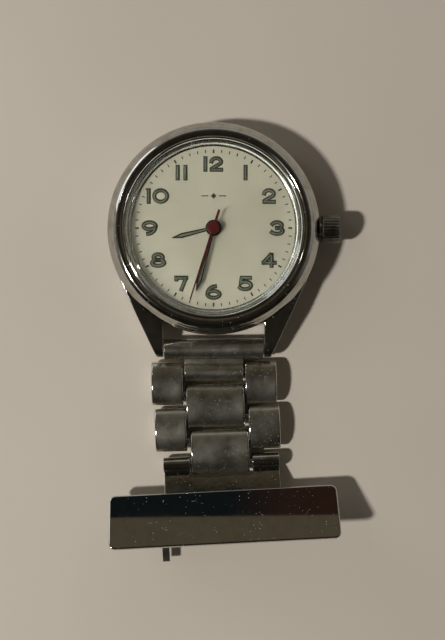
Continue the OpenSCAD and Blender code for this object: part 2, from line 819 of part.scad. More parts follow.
// Helical spring between the two tips
module spring_bar_spring() {
    half = tip_in - 0.1;
    rings = spring_turns * spring_steps;
    points = [for (i = [0 : rings], k = [0 : spring_sides - 1])
        let (a = i * 360 / spring_steps, b = k * 360 / spring_sides,
            r = spring_mean + spring_wire * cos(b))
        [-half + 2 * half * i / rings + spring_wire * sin(b), r * cos(a), r * sin(a)]];
    sides = [for (i = [0 : rings - 1], k = [0 : spring_sides - 1])
        let (n = (k + 1) % spring_sides, p = i * spring_sides, q = p + spring_sides)
        [p + k, p + n, q + n, q + k]];
    first = [for (k = [spring_sides - 1 : -1 : 0]) k];
    last = [for (k = [0 : spring_sides - 1]) rings * spring_sides + k];
    color(steel) translate([0, bar_y, bar_z]) polyhedron(points, concat([first], sides, [last]));
}

// Puts a shape made about a pin in its place along the strap
module at_pin(n) {
    translate([pin_xy(n)[0], pin_xy(n)[1], pin_z(n)]) rotate([0, 0, lean(n)]) children();
}

// A link from x0 to x1, bored for the pin that it starts at and for the next one
module link(x0, x1, bore) {
    difference() {
        translate([x0, 0, 0]) rotate([90, 0, 90])
            linear_extrude(x1 - x0) bar_2d([0, 0], [-half_pitch, 0], 2 * link_r);
        for (y = [0, -half_pitch]) rod_x(bore, x0 - 1, x1 + 1, y);
    }
}

// Full-width barrel on the spring bar, joined by a web to a short barrel on the first pin
module end_link() {
    half = lug_gap / 2 - 0.1;
    next = [-first_run, link_z - bar_z];
    color(chrome) at_pin(0) difference() {
        union() {
            rod_x(link_r, -half, half);
            rod_x(link_r, -centre_w / 2, centre_w / 2, next[0], next[1]);
            translate([-centre_w / 2, 0, 0]) rotate([90, 0, 90]) linear_extrude(centre_w)
                bar_2d([0, 0], next, 1.4);
        }
        rod_x(spring_tube_r + run, -lug_gap, lug_gap);
        rod_x(pin_r + fit, -lug_gap, lug_gap, next[0], next[1]);
    }
}

module outer_links(n) {
    color(chrome) at_pin(n) both_sides() link(outer_x, strap_half, pin_r);
}

module centre_link(n) {
    color(chrome) at_pin(n) link(-centre_w / 2, centre_w / 2, pin_r + fit);
}

module outer_links_1() {
    outer_links(1);
}

module outer_links_2() {
    outer_links(3);
}

module centre_link_1() {
    centre_link(2);
}

module centre_link_2() {
    centre_link(4);
}

// A pin at y behind pin n, in the piece that starts at pin n
module link_pin(n, y, half) {
    color(steel) at_pin(n) rod_x(pin_r, -half, half, y);
}

// ---- brooch ----

// Puts a shape made about the last pin in its place, leaning on the catch
module at_brooch() {
    at_pin(5) rotate([-brooch_tilt, 0, 0]) children();
}

slot_half = centre_w / 2 + side_play + 0.1;
slot_end = link_r + 0.35;

// Sheet folded round the last pin: two rolled ears and a plate that runs behind the bar
module hanger_plate() {
    plate_end = finding_y + base_w / 2;
    color(chrome) at_brooch() difference() {
        union() {
            rod_x(curl_r, -hanger_w / 2, hanger_w / 2);
            translate([-hanger_w / 2, -plate_end, hanger_z]) cube([hanger_w, plate_end, sheet_t]);
        }
        rod_x(pin_r, -hanger_w, hanger_w);
        translate([-slot_half, -slot_end, -3]) cube([2 * slot_half, slot_end + 3, 6]);
    }
}

// A flat plate with round corners, lying in X and Y
module rounded_plate(w, h, t, r) {
    linear_extrude(t) {
        translate([-w / 2 + r, 0]) square([w - 2 * r, h]);
        translate([-w / 2, r]) square([w, h - 2 * r]);
        for (x = [-w / 2 + r, w / 2 - r], y = [r, h - r]) translate([x, y]) circle(r = r);
    }
}

module brooch_bar() {
    color(chrome) at_brooch() translate([0, -neck_len - bar_h, bar_back_z])
        rounded_plate(bar_w, bar_h, bar_t, bar_corner);
}

// Strip soldered to the hanger, with two upright ears for the pin's hinge
module brooch_base() {
    color(steel) at_brooch() difference() {
        union() {
            translate([0, -finding_y - base_w / 2, base_z]) rounded_plate(base_len, base_w, sheet_t, 1);
            for (s = [-1, 1]) translate([hinge_x, -finding_y + s * (ear_gap + ear_t) / 2, 0]) {
                translate([-ear_r, -ear_t / 2, catch_z]) cube([2 * ear_r, ear_t, base_z - catch_z + 0.1]);
                translate([0, ear_t / 2, catch_z]) rotate([90, 0, 0]) cylinder(r = ear_r, h = ear_t);
            }
        }
        translate([hinge_x, -finding_y + 3, catch_z]) rotate([90, 0, 0]) cylinder(r = rivet_r, h = 6);
    }
}

module hinge_rivet() {
    half = ear_gap / 2 + ear_t;
    color(steel) at_brooch() translate([hinge_x, -finding_y, catch_z]) rotate([90, 0, 0]) {
        translate([0, 0, -half]) cylinder(r = rivet_r, h = 2 * half);
        for (s = [0, 1]) mirror([0, 0, s]) translate([0, 0, half]) cylinder(r = 0.8, h = 0.25);
    }
}

// Wire with a round eye at the hinge and a sharp point past the catch
module brooch_pin() {
    color(steel) at_brooch() translate([0, -finding_y, catch_z]) difference() {
        union() {
            rod_x(wire_r, pin_tip_x + pin_taper, hinge_x);
            translate([pin_tip_x, 0, 0]) rotate([0, 90, 0]) cylinder(r1 = 0.06, r2 = wire_r, h = pin_taper);
            translate([hinge_x, ear_gap / 2 - 0.1, 0]) rotate([90, 0, 0])
                cylinder(r = ear_r, h = ear_gap - 0.2);
        }
        translate([hinge_x, 3, 0]) rotate([90, 0, 0]) cylinder(r = rivet_r + fit, h = 6);
    }
}

// A slot from the axis outwards, away from the bar, in [y, z]
module mouth_2d(half) {
    translate([-half, -5]) square([2 * half, 5]);
}

module catch_hook() {
    color(steel) at_brooch() translate([-catch_x - hook_w / 2, -finding_y, catch_z])
        rotate([90, 0, 90]) linear_extrude(hook_w) {
            difference() {
                circle(r = hook_r);
                circle(r = hook_r - hook_t);
                mouth_2d(mouth + 0.1);
            }
            translate([-0.6, hook_r - 0.3]) square([1.2, base_z - catch_z - hook_r + 0.3]);
        }
}

// Turning sleeve inside the hook, drawn open, with a thumb lever at its outer end
module catch_sleeve() {
    lever_w = 1.1;
    color(steel) at_brooch() translate([-catch_x, -finding_y, catch_z]) {
        translate([-sleeve_w / 2, 0, 0]) rotate([90, 0, 90]) linear_extrude(sleeve_w) difference() {
            circle(r = sleeve_r);
            circle(r = sleeve_bore);
            mouth_2d(mouth);
        }
        rotate([brooch_tilt + 2, 0, 0]) translate([-sleeve_w / 2, -lever_len, -0.3])
            cube([lever_w, lever_len - 1, 0.6]);
    }
}

// ---- nodes ----

case_body();
bezel();
crystal();
crystal_gasket();
rehaut_ring();
dial();
movement_holder();
main_plate();
train_bridge();
bridge_screws();
circuit_board();
quartz_can();
timer_chip();
coil_core();
coil_winding();
stator();
battery();
battery_clip();
case_back();
case_back_gasket();
crown_tube();
rotor();
intermediate_wheel();
seconds_wheel();
third_wheel();
centre_wheel();
minute_wheel();
hour_wheel();
setting_wheel();
hour_hand();
minute_hand();
seconds_hand();
crown();
crown_gasket();
stem();
clutch_wheel();
setting_lever();
yoke();
spring_bar_tube();
spring_bar_tip_left();
spring_bar_tip_right();
spring_bar_spring();
end_link();
outer_links_1();
centre_link_1();
outer_links_2();
centre_link_2();
link_pin(1, 0, strap_half - 0.1);  // link_pin_1
link_pin(1, -half_pitch, strap_half - 0.1);  // link_pin_2
link_pin(3, 0, strap_half - 0.1);  // link_pin_3
link_pin(3, -half_pitch, strap_half - 0.1);  // link_pin_4
link_pin(5, 0, hanger_w / 2 - 0.05);  // link_pin_5
hanger_plate();
brooch_bar();
brooch_base();
hinge_rivet();
brooch_pin();
catch_hook();
catch_sleeve();
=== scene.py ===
"""A nurse's fob watch on a plain pale floor: a steel quartz watch head, a short bracelet strap and a
brooch bar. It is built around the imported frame, in metres, in the order in which it is put together."""

import json
import math

import bmesh
import bpy
from mathutils import Matrix, Vector

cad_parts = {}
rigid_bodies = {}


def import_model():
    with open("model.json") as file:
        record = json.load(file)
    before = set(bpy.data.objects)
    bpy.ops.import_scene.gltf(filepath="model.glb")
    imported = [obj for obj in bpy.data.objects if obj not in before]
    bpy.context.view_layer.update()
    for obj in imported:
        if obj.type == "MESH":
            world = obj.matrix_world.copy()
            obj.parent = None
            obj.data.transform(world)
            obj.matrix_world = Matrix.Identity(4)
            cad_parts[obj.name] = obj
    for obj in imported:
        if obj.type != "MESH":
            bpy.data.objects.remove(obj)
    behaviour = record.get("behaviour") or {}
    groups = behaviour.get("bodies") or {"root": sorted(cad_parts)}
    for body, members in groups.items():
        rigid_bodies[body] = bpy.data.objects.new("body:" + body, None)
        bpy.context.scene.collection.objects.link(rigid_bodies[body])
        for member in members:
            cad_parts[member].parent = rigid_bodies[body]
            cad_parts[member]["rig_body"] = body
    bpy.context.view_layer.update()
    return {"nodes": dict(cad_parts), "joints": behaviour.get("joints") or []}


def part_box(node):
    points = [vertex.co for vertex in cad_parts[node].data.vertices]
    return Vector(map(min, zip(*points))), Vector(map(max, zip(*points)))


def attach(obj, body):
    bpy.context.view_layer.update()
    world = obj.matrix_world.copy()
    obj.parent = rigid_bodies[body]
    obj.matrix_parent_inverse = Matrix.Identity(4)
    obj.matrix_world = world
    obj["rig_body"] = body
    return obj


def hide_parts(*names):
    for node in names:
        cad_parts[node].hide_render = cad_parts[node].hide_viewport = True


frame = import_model()


# ---- Case ----
# The case is turned from a bar of stainless steel, with two lugs forged on it, and polished all over.
# Its flank is upright, its shoulder is one wide slope, and the polishing wheel has softened its edges.

MM = 0.001  # section sizes below are in millimetres


def linear(code):
    """A colour from its sRGB hex code, as the shaders want it."""
    channels = [int(code[i : i + 2], 16) / 255 for i in (0, 2, 4)]
    return (*((c / 12.92 if c <= 0.04045 else ((c + 0.055) / 1.055) ** 2.4) for c in channels), 1.0)


def add(tree, kind, inputs=(), **settings):
    """Adds a node: inputs is a dictionary of sockets, each with a value or the socket it's linked to."""
    node = tree.nodes.new("ShaderNode" + kind)
    for key, value in settings.items():
        setattr(node, key, value)
    for key, value in dict(inputs).items():
        if isinstance(value, bpy.types.NodeSocket):
            tree.links.new(value, node.inputs[key])
        else:
            node.inputs[key].default_value = value
    return node


def new_material(name):
    """An empty material, with its node tree and its output node."""
    material = bpy.data.materials.new(name)
    material.use_nodes = True
    material.node_tree.nodes.clear()
    return material, material.node_tree, add(material.node_tree, "OutputMaterial")


def pattern(tree, size_mm, squeeze=(1, 1, 1), detail=3.0):
    """Noise whose blotches are size_mm across, squeezed along the axes; it gives 0 to 1 about 0.5."""
    place = add(tree, "TexCoord").outputs["Object"]
    held = add(tree, "Mapping", {"Vector": place, "Scale": squeeze}).outputs[0]
    return add(tree, "TexNoise", {"Vector": held, "Scale": 1 / (size_mm * MM), "Detail": detail}).outputs[0]


def blotches(tree, size_mm, low, high, to_low=0.0, to_high=1.0, detail=3.0):
    """The same noise, stretched from low..high to to_low..to_high and stopped there."""
    noise = pattern(tree, size_mm, detail=detail)
    return add(tree, "MapRange", {"Value": noise, 1: low, 2: high, 3: to_low, 4: to_high}).outputs[0]


def dust(tree, spacing_mm, share):
    """1 on grains of dust, 0 between them: one cell in a few holds a grain, smaller than its cell."""
    place = add(tree, "TexCoord").outputs["Object"]
    cells = add(tree, "TexVoronoi", {"Vector": place, "Scale": 1 / (spacing_mm * MM), "Randomness": 1.0})
    chosen = add(tree, "SeparateColor", {0: cells.outputs["Color"]}).outputs[0]
    holds = add(tree, "MapRange", {"Value": chosen, 1: 1 - share, 2: 1 - share + 0.02}).outputs[0]
    away = cells.outputs["Distance"]
    grain = add(tree, "MapRange", {"Value": away, 1: 0.16, 2: 0.28, 3: 1, 4: 0}).outputs[0]
    patches = blotches(tree, 6, 0.42, 0.62, 0.15, 1)
    grains = add(tree, "Math", {0: holds, 1: grain}, operation="MULTIPLY").outputs[0]
    return add(tree, "Math", {0: grains, 1: patches}, operation="MULTIPLY").outputs[0]


def steel(name, clean, dull, smooth, rough, grain_mm, dent_mm, squeeze=(1, 1, 1), dusty=0.0):
    """Steel between two tones and two roughnesses, with a grain squeezed along its brushing, and dust.
    Each grain of dust is drawn a few times as coarse as the real one, so that it shows."""
    material, tree, output = new_material(name)
    tone = add(tree, "Mix", {"Factor": blotches(tree, 1.6, 0.45, 0.7), 6: linear(clean), 7: linear(dull)},
               data_type="RGBA").outputs[2]
    grain = pattern(tree, grain_mm, squeeze, detail=2.0)
    scratches = add(tree, "Bump", {"Height": grain, "Distance": dent_mm * MM, "Strength": 1.0})
    shader = add(tree, "BsdfPrincipled", {
        "Metallic": 1.0, "Base Color": tone, "Normal": scratches.outputs[0],
        "Roughness": blotches(tree, 5.0, 0.3, 0.7, smooth, rough)})
    surface = shader.outputs[0]
    if dusty:
        grains = dust(tree, 0.24, dusty)
        lint = add(tree, "BsdfPrincipled", {"Base Color": linear("D8D4C8"), "Roughness": 0.9})
        surface = add(tree, "MixShader", {0: grains, 1: surface, 2: lint.outputs[0]}).outputs[0]
    tree.links.new(surface, output.inputs["Surface"])
    return material


# Polished stainless steel: a dark mirror with soft smudges, hairline scratches and a little dust.
polished_steel = steel("polished_stainless_steel", "BCBBB7", "A6A294", smooth=0.04, rough=0.14,
                       grain_mm=0.6, dent_mm=0.003, dusty=0.05)


def arc(centre, radius, start, end, steps=6):
    """Points of an arc in a section, from one angle to another in degrees, in millimetres."""
    angles = [math.radians(start + (end - start) * i / steps) for i in range(steps + 1)]
    return [(centre[0] + radius * math.cos(a), centre[1] + radius * math.sin(a)) for a in angles]


def turned(section, steps=160, closed=True):
    """A turned solid: a section of (radius, height) points in millimetres, spun about the Z axis."""
    bm = bmesh.new()
    ring = [bm.verts.new((r * MM, 0, z * MM)) for r, z in section]
    ends = ring[1:] + ring[:1] if closed else ring[1:]
    edges = [bm.edges.new(pair) for pair in zip(ring, ends)]
    bmesh.ops.spin(bm, geom=ring + edges, cent=(0, 0, 0), axis=(0, 0, 1), angle=2 * math.pi,
                   steps=steps, use_merge=True, use_duplicate=False)
    bmesh.ops.remove_doubles(bm, verts=bm.verts, dist=1e-7)
    bmesh.ops.recalc_face_normals(bm, faces=bm.faces)
    return bm


def sharp_edges(bm, degrees):
    """The edges whose two faces meet at more than an angle."""
    return [e for e in bm.edges if len(e.link_faces) == 2 and e.calc_face_angle() > math.radians(degrees)]


def only(kind, geometry):
    """The parts of one kind, such as BMVert, in what an operator returns."""
    return [part for part in geometry if isinstance(part, kind)]


def join(whole, part):
    """Adds one bmesh to another, and frees it."""
    mesh = bpy.data.meshes.new("part")
    part.to_mesh(mesh)
    whole.from_mesh(mesh)
    bpy.data.meshes.remove(mesh)
    part.free()


def soften(bm, edges, width_mm, segments=3):
    """Rounds some edges to a width."""
    bmesh.ops.bevel(bm, geom=edges, offset=width_mm * MM, offset_type="OFFSET", affect="EDGES",
                    segments=segments, profile=0.5, material=-1, clamp_overlap=True)


def piece(name, bm, materials, body, nodes=()):
    """Makes a mesh into a piece of the object: it rides on a body and stands for some CAD nodes."""
    mesh = bpy.data.meshes.new(name)
    bm.to_mesh(mesh)
    bm.free()
    mesh.shade_smooth()
    for material in materials:
        mesh.materials.append(material)
    made = bpy.data.objects.new(name, mesh)
    bpy.context.scene.collection.objects.link(made)
    made.modifiers.new("even_shading", "WEIGHTED_NORMAL").keep_sharp = True
    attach(made, body)
    if nodes:
        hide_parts(*nodes)
    return made


def reach(node, axis):
    """How far a CAD node reaches along an axis, low and high, in millimetres."""
    low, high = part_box(node)
    return low[axis] / MM, high[axis] / MM


bezel_r = reach("bezel", 0)[1]
shoulder_wide = 0.75
case_r = bezel_r + shoulder_wide
case_bore = reach("crystal_gasket", 0)[1]
case_low = reach("case_body", 2)[0]
case_top = reach("bezel", 2)[0]
ledge_r = reach("rehaut_ring", 0)[1]
ledge_below_crystal = 0.95
ledge_z = reach("crystal", 2)[0] - ledge_below_crystal

# From the bore round the rolled lower edge, up the flank, over the shoulder and down the bezel's seat
foot_r = 0.45
flank_low = case_low + 2.2
case_section = [
    (case_bore, case_low), *arc((case_r - 1.0, case_low + foot_r), foot_r, -90, -45),
    (case_r - 0.25, case_low + 0.7), (case_r - 0.06, case_low + 1.2), (case_r, flank_low),
    (case_r - 0.02, case_top - 1.3), (case_r - 0.06, case_top - 1.0), (case_r - 0.14, case_top - 0.78),
    (bezel_r + 0.03, case_top - 0.04), (bezel_r - 0.05, case_top - 0.01),
    (ledge_r, case_top - 0.02), (ledge_r, ledge_z), (case_bore, ledge_z)]
piece("case_band", turned(case_section), [polished_steel], "case", ["case_body"])

# Each lug is a side outline drawn out sideways, then cut by the plane of its leaning flank
lug_gap = 16.0
lug_inner = lug_gap / 2
lug_lean = math.radians(24.6)
lug_tip_r = 1.3
spring_bar_z = 2.3
spring_bar_y = reach("case_body", 1)[0] + lug_tip_r
lug_shoulder = case_top - 1.1
lug_flank_inset = 0.03
lug_edge = 0.14
tip_outline = arc((spring_bar_y, spring_bar_z), lug_tip_r, 90, 270, 12)
lug_root = -case_r * math.sin(lug_lean)
lug_outline = [(lug_root, lug_shoulder), (-case_bore, lug_shoulder), *tip_outline, (-case_bore, case_low),
               (lug_root, case_low)]

# The second cut runs inside the case's wall, so that no part of a lug shows in the bore
flank_normal = Vector((math.cos(lug_lean), -math.sin(lug_lean), 0))
wall_middle = (case_r + case_bore) / 2
root_inner = Vector((lug_inner, -math.sqrt(wall_middle ** 2 - lug_inner ** 2), 0))
root_outer = flank_normal * wall_middle
root_normal = (root_outer - root_inner).cross(Vector((0, 0, -1))).normalized()
both_lugs = bmesh.new()
for side in (1, -1):
    lug = bmesh.new()
    outline = lug.faces.new([lug.verts.new((lug_inner * MM, y * MM, z * MM)) for y, z in lug_outline])
    drawn = bmesh.ops.extrude_face_region(lug, geom=[outline])["geom"]
    bmesh.ops.translate(lug, vec=((case_r - lug_inner) * MM, 0, 0), verts=only(bmesh.types.BMVert, drawn))
    for point, normal in ((flank_normal * (case_r - lug_flank_inset), flank_normal),
                          (root_inner, root_normal)):
        cut = bmesh.ops.bisect_plane(lug, geom=lug.verts[:] + lug.edges[:] + lug.faces[:], dist=1e-7,
                                     plane_co=point * MM, plane_no=normal, clear_outer=True)
        bmesh.ops.edgeloop_fill(lug, edges=only(bmesh.types.BMEdge, cut["geom_cut"]))
    if side < 0:
        bmesh.ops.scale(lug, vec=(-1, 1, 1), verts=lug.verts)
    bmesh.ops.recalc_face_normals(lug, faces=lug.faces)
    soften(lug, sharp_edges(lug, 30), lug_edge)
    join(both_lugs, lug)
piece("case_lugs", both_lugs, [polished_steel], "case")


# ---- Case back ----
# A turned lid of stainless steel that is pressed into the case. Its flat is brushed in circles and
# has a shallow groove, and its sloping shoulder is polished. The rubber ring seals it.

# Circle-brushed stainless steel: fine rings round the middle, so that light draws two fans on it.
circle_brushed, tree, output = new_material("circle_brushed_stainless_steel")
place = add(tree, "TexCoord").outputs["Object"]
rings = add(tree, "TexWave", {"Vector": place, "Scale": 700.0, "Distortion": 1.5, "Detail": 2.0},
            wave_type="RINGS", rings_direction="Z")
around = add(tree, "Tangent", direction_type="RADIAL", axis="Z").outputs[0]
lines = add(tree, "Bump", {"Height": rings.outputs["Fac"], "Distance": 0.004 * MM, "Strength": 0.6})
shader = add(tree, "BsdfPrincipled", {
    "Metallic": 1.0, "Base Color": linear("B9B8B3"), "Normal": lines.outputs[0], "Anisotropic": 0.7,
    "Roughness": blotches(tree, 3.0, 0.3, 0.7, 0.26, 0.36), "Tangent": around})
tree.links.new(shader.outputs[0], output.inputs["Surface"])

back_r = reach("case_back", 0)[1]
back_flat_r = 12.5
groove_in, groove_out, groove_deep = 10.6, 11.2, 0.08
back_thick, rim_high = 0.5, 2.2
plug_r = case_bore - 0.02
back_section = [
    (0, 0), (groove_in, 0), (groove_in + 0.1, groove_deep), (groove_out - 0.1, groove_deep), (groove_out, 0),
    (back_flat_r - 0.1, 0), (back_flat_r + 0.05, 0.04), (back_r - 0.1, 0.72), (back_r, 0.85),
    (back_r, case_low), (plug_r, case_low), (plug_r, rim_high), (plug_r - 0.5, rim_high),
    (plug_r - 0.5, 0.9), (back_flat_r - 0.6, back_thick), (0, back_thick)]
piece("case_back_lid", turned(back_section, closed=False), [circle_brushed], "case",
      ["case_back"])

# Nitrile rubber: black, dull and slightly uneven.
rubber, tree, output = new_material("nitrile_rubber")
shader = add(tree, "BsdfPrincipled", {
    "Base Color": linear("1B1B1B"), "Roughness": blotches(tree, 1.0, 0.3, 0.7, 0.55, 0.75)})
tree.links.new(shader.outputs[0], output.inputs["Surface"])


def dress(material, *nodes):
    """Gives CAD nodes, whose shape is right, a better material."""
    for node in nodes:
        frame["nodes"][node].data.materials.clear()
        frame["nodes"][node].data.materials.append(material)


dress(rubber, "case_back_gasket", "crown_gasket")


# ---- Movement ----
# A quartz movement in a nylon ring: brass plates and wheels, a lacquered board, a copper coil on a
# soft iron core, and a button cell. The case hides it all.

# Brass, rolled and then brushed: warm yellow, with short straight lines.
brass, tree, output = new_material("brushed_brass")
lines = add(tree, "Bump", {"Height": pattern(tree, 0.15, (0.08, 1, 1)), "Distance": 0.004 * MM})
shader = add(tree, "BsdfPrincipled", {
    "Metallic": 1.0, "Base Color": linear("C9A760"), "Normal": lines.outputs[0],
    "Roughness": blotches(tree, 2.0, 0.3, 0.7, 0.22, 0.36)})
tree.links.new(shader.outputs[0], output.inputs["Surface"])
dress(brass, "main_plate", "train_bridge", "intermediate_wheel", "seconds_wheel", "third_wheel",
      "centre_wheel", "minute_wheel", "hour_wheel", "setting_wheel")

# Drawn steel: grey, with a faint grain along the wire or the strip.
drawn_steel = steel("drawn_steel", "A9A8A4", "9A9890", smooth=0.22, rough=0.34, grain_mm=0.2,
                    dent_mm=0.002, squeeze=(0.1, 1, 1))
dress(drawn_steel, "crown_tube", "stem", "clutch_wheel", "setting_lever", "yoke", "bridge_screws",
      "quartz_can", "coil_core", "stator", "battery", "battery_clip")

# Enamelled copper wire: fine turns side by side, reddish and glossy.
copper, tree, output = new_material("enamelled_copper_wire")
place = add(tree, "TexCoord").outputs["Object"]
turns = add(tree, "TexWave", {"Vector": place, "Scale": 1500.0, "Distortion": 0.0}, bands_direction="X")
ridges = add(tree, "Bump", {"Height": turns.outputs["Fac"], "Distance": 0.02 * MM})
shader = add(tree, "BsdfPrincipled", {
    "Metallic": 1.0, "Base Color": linear("B86A3C"), "Normal": ridges.outputs[0], "Roughness": 0.3})
tree.links.new(shader.outputs[0], output.inputs["Surface"])
dress(copper, "coil_winding")

# Moulded nylon: white, slightly see-through at its edges, with a soft shine.
nylon, tree, output = new_material("moulded_nylon")
shader = add(tree, "BsdfPrincipled", {
    "Base Color": linear("E6E4DC"), "IOR": 1.53, "Subsurface Weight": 0.1, "Subsurface Scale": 0.5 * MM,
    "Roughness": blotches(tree, 0.8, 0.3, 0.7, 0.35, 0.5)})
tree.links.new(shader.outputs[0], output.inputs["Surface"])
dress(nylon, "movement_holder", "crystal_gasket")

# Solder mask over glass cloth: green lacquer in which the cloth's weave just shows.
solder_mask, tree, output = new_material("green_solder_mask")
weave = pattern(tree, 0.4, (1, 1, 0.2))
shader = add(tree, "BsdfPrincipled", {
    "Base Color": add(tree, "Mix", {"Factor": weave, 6: linear("1D5A3A"), 7: linear("2A6E49")},
                      data_type="RGBA").outputs[2], "Roughness": 0.28, "Coat Weight": 0.4})
tree.links.new(shader.outputs[0], output.inputs["Surface"])
dress(solder_mask, "circuit_board")

# Moulded epoxy: a black drop with a fine matt skin. Sintered magnet: dark grey and granular.
for name, colour, roughness, node in (("moulded_epoxy", "17181A", 0.5, "timer_chip"),
                                      ("sintered_magnet", "4A4B4D", 0.42, "rotor")):
    material, tree, output = new_material(name)
    skin = add(tree, "Bump", {"Height": pattern(tree, 0.08), "Distance": 0.006 * MM})
    shader = add(tree, "BsdfPrincipled", {"Base Color": linear(colour), "Roughness": roughness,
                                          "Normal": skin.outputs[0]})
    tree.links.new(shader.outputs[0], output.inputs["Surface"])
    dress(material, node)


# ---- Dial ----
# A brass disc lacquered in cream silver, with its track, ornament and numerals pad-printed in black.
# The numerals are filled with luminous paint, which has aged to olive green.

# Cream dial lacquer: a pale satin coat with very fine metal flakes in it.
dial_lacquer, tree, output = new_material("cream_dial_lacquer")
tone = add(tree, "Mix", {"Factor": blotches(tree, 7.0, 0.35, 0.65), 6: linear("9F998B"), 7: linear("A7A193")},
           data_type="RGBA").outputs[2]
shader = add(tree, "BsdfPrincipled", {
    "Base Color": tone, "Metallic": 0.25, "Coat Weight": 0.3, "Coat Roughness": 0.15,
    "Roughness": blotches(tree, 0.06, 0.35, 0.65, 0.3, 0.42, detail=1.0)})
tree.links.new(shader.outputs[0], output.inputs["Surface"])

# Printing ink: black, a little glossy, with an uneven edge to its film.
ink, tree, output = new_material("black_printing_ink")
film = add(tree, "Bump", {"Height": pattern(tree, 0.2), "Distance": 0.004 * MM})
shader = add(tree, "BsdfPrincipled", {"Base Color": linear("15170F"), "Roughness": 0.4,
                                      "Normal": film.outputs[0]})
tree.links.new(shader.outputs[0], output.inputs["Surface"])

# Aged luminous paint: grainy and dull, olive green with darker flecks.
lume, tree, output = new_material("aged_luminous_paint")
fleck = blotches(tree, 0.15, 0.35, 0.65)
grit = add(tree, "Bump", {"Height": pattern(tree, 0.1), "Distance": 0.01 * MM})
shader = add(tree, "BsdfPrincipled", {
    "Base Color": add(tree, "Mix", {"Factor": fleck, 6: linear("4A4D40"), 7: linear("5C5F50")},
                      data_type="RGBA").outputs[2], "Roughness": 0.8, "Normal": grit.outputs[0]})
tree.links.new(shader.outputs[0], output.inputs["Surface"])

dial_top = reach("dial", 2)[1]
dial_r = reach("dial", 0)[1]
dial_hole_r, dial_thick, dial_edge = 1.0, 0.4, 0.03
dial_section = [(dial_hole_r, dial_top - dial_thick), (dial_r, dial_top - dial_thick),
                (dial_r, dial_top - dial_edge), (dial_r - dial_edge, dial_top),
                (dial_hole_r + dial_edge, dial_top), (dial_hole_r, dial_top - dial_edge)]
piece("dial_plate", turned(dial_section), [dial_lacquer], "case", ["dial"])

print_thick = 0.02
print_z = dial_top + print_thick / 2
track = bmesh.new()


def printed(x, y, width, height, before=0, after=0):
    """A printed bar on the dial, turned by an angle in its place, and then about the dial's middle."""
    swung = Matrix.Rotation(math.radians(after), 4, "Z")
    place = Matrix.Translation((x * MM, y * MM, print_z * MM))
    turned_bar = Matrix.Rotation(math.radians(before), 4, "Z")
    size = Matrix.Diagonal((width * MM, height * MM, print_thick * MM, 1))
    bmesh.ops.create_cube(track, size=1.0, matrix=swung @ place @ turned_bar @ size)


# The minute track: sixty strokes, every fifth one longer and bolder
track_r = 12.2
for minute in range(60):
    length, width = (0.48, 0.15) if minute % 5 else (0.6, 0.26)
    printed(0, track_r - length / 2, width, length, after=6 * minute)

# A plain lozenge between two dashes, where such dials carry a mark
mark_y = 5.0
printed(0, mark_y, 0.62, 0.62, before=45)
for x in (-1.35, 1.35):
    printed(x, mark_y, 1.1, 0.14)
piece("minute_track", track, [ink], "case")


def oval(x, y, across, up, start=0, end=360, steps=24):
    """Points of part of an oval, in units of a numeral's height."""
    angles = [math.radians(start + (end - start) * i / steps) for i in range(steps + 1)]
    return [(x + across * math.cos(a), y + up * math.sin(a)) for a in angles]


# The middle lines of the figures' strokes, in a square one unit high
figures = {
    "0": [oval(0.5, 0.5, 0.5, 0.5)],
    "1": [[(0.0, 1.0), (0.0, 0.0)]],
    "2": [oval(0.5, 0.7, 0.37, 0.3, 175, -35) + [(0.22, 0.14)], [(0.14, 0.0), (0.88, 0.0)]],
    "3": [oval(0.45, 0.745, 0.38, 0.255, 155, -90) + oval(0.45, 0.26, 0.45, 0.26, 90, -150)],
    "4": [[(0.7, 0.0), (0.7, 0.95)], [(0.62, 0.95), (0.12, 0.34)], [(0.08, 0.27), (0.95, 0.27)]],
    "5": [[(0.84, 1.0), (0.2, 1.0), (0.14, 0.55)] + oval(0.45, 0.33, 0.47, 0.33, 115, -145)],
    "6": [oval(0.5, 0.3, 0.47, 0.3), oval(0.66, 0.34, 0.63, 0.66, 95, 175)],
    "7": [[(0.1, 0.86), (0.1, 1.0)], [(0.1, 1.0), (0.86, 1.0)], [(0.82, 0.93), (0.5, 0.0)]],
    "8": [oval(0.5, 0.75, 0.36, 0.25), oval(0.5, 0.26, 0.48, 0.26)],
    "9": [oval(0.5, 0.7, 0.47, 0.3), oval(0.34, 0.66, 0.63, 0.66, -85, -5)],
}
figure_wide, figure_high = 2.0, 1.78
figure_starts = {"1": (0.5,), "10": (0.02, 0.45), "11": (0.45, 1.05), "12": (0.12, 0.46)}
numeral_r = 9.95
figure_stroke, lume_stroke, lume_short = 0.66, 0.24, 0.16


